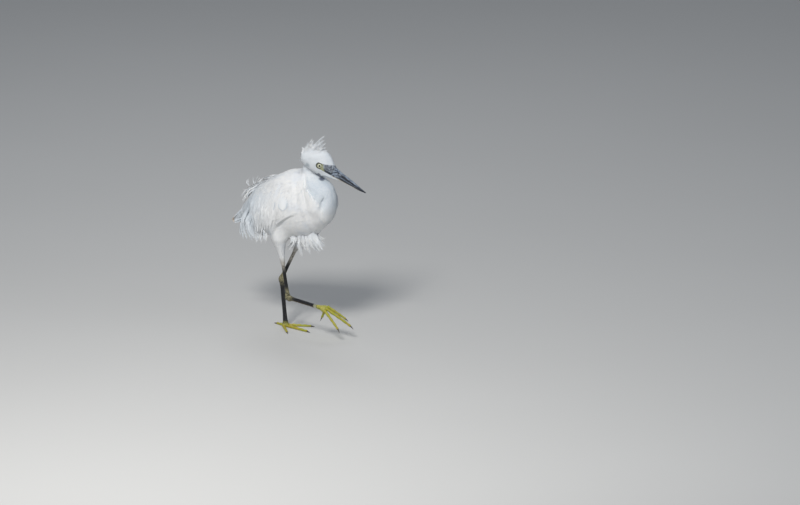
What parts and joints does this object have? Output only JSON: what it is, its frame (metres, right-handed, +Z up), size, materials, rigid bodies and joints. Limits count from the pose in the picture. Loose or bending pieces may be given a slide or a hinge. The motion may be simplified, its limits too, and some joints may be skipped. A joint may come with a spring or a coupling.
{
  "type": "little egret",
  "caption": "Life-size little egret walking with one foot lifted, neck drawn in, crest and loose plumes blown up from behind.",
  "frame": {"origin": "on the floor under the ball of the standing (left) foot", "axes": "+X along the body towards the breast, +Y towards the bird's left, +Z up"},
  "size_m": [0.3501, 0.1229, 0.4411],
  "materials": {
    "plumage": "soft white feathers",
    "bill_horn": "blue-black horn",
    "leg_scales": "black scales",
    "toe_scales": "lime-yellow scales",
    "claw_horn": "dark horn",
    "eye": "wet, pale yellow iris"
  },
  "bodies": {
    "root": {"head": "plumage", "neck_upper": "plumage", "neck_lower": "plumage", "torso": "plumage", "tail": "plumage", "wing_right": "plumage", "wing_left": "plumage", "thigh_right": "plumage", "thigh_left": "plumage", "bill_upper": "bill_horn", "bill_lower": "bill_horn", "shank_right": "leg_scales", "shank_left": "leg_scales", "tarsus_right": "leg_scales", "tarsus_left": "leg_scales", "eye_left": "eye", "toe_left_middle": "toe_scales", "claw_left_middle": "claw_horn", "toe_left_inner": "toe_scales", "claw_left_inner": "claw_horn", "toe_left_outer": "toe_scales", "claw_left_outer": "claw_horn", "toe_left_hind": "toe_scales", "claw_left_hind": "claw_horn", "eye_right": "eye", "toe_right_middle": "toe_scales", "claw_right_middle": "claw_horn", "toe_right_inner": "toe_scales", "claw_right_inner": "claw_horn", "toe_right_outer": "toe_scales", "claw_right_outer": "claw_horn", "toe_right_hind": "toe_scales", "claw_right_hind": "claw_horn"}
  },
  "joints": []
}
